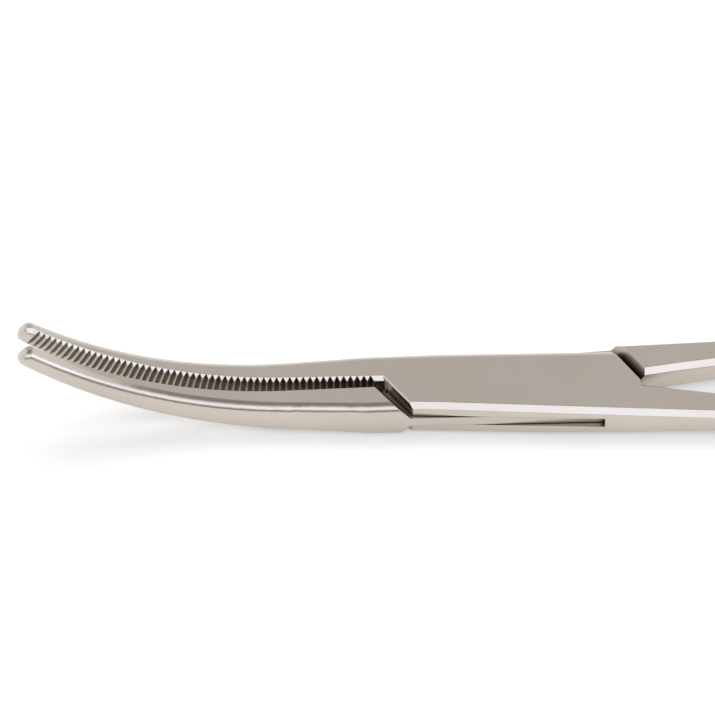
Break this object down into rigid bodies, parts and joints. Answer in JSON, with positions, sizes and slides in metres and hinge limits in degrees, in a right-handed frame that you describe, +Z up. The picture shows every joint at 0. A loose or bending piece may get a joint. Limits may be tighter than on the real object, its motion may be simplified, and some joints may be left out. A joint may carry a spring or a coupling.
{
  "type": "hemostat forceps",
  "caption": "Curved locking hemostatic forceps with fully serrated jaws, box lock joint, ratchet and finger rings.",
  "frame": {"origin": "on the pivot axis, in the plane the instrument lies on", "axes": "+Z up along the pivot axis, the way the jaw tips curve; +X from the jaws to the finger rings; +Y towards the side of the jaw that belongs to the box half"},
  "size_m": [0.16, 0.062, 0.0153],
  "materials": {
    "steel": "satin"
  },
  "bodies": {
    "box_side": {"box_half": "steel", "pivot_pin": "steel"},
    "tongue_side": {"tongue_half": "steel"}
  },
  "joints": [
    {"name": "jaw_pivot", "type": "hinge", "parent": "box_side", "child": "tongue_side", "pos_m": [0, 0, 0.00267], "axis": [0, 0, 1], "range_deg": [-1.85, 58]}
  ]
}
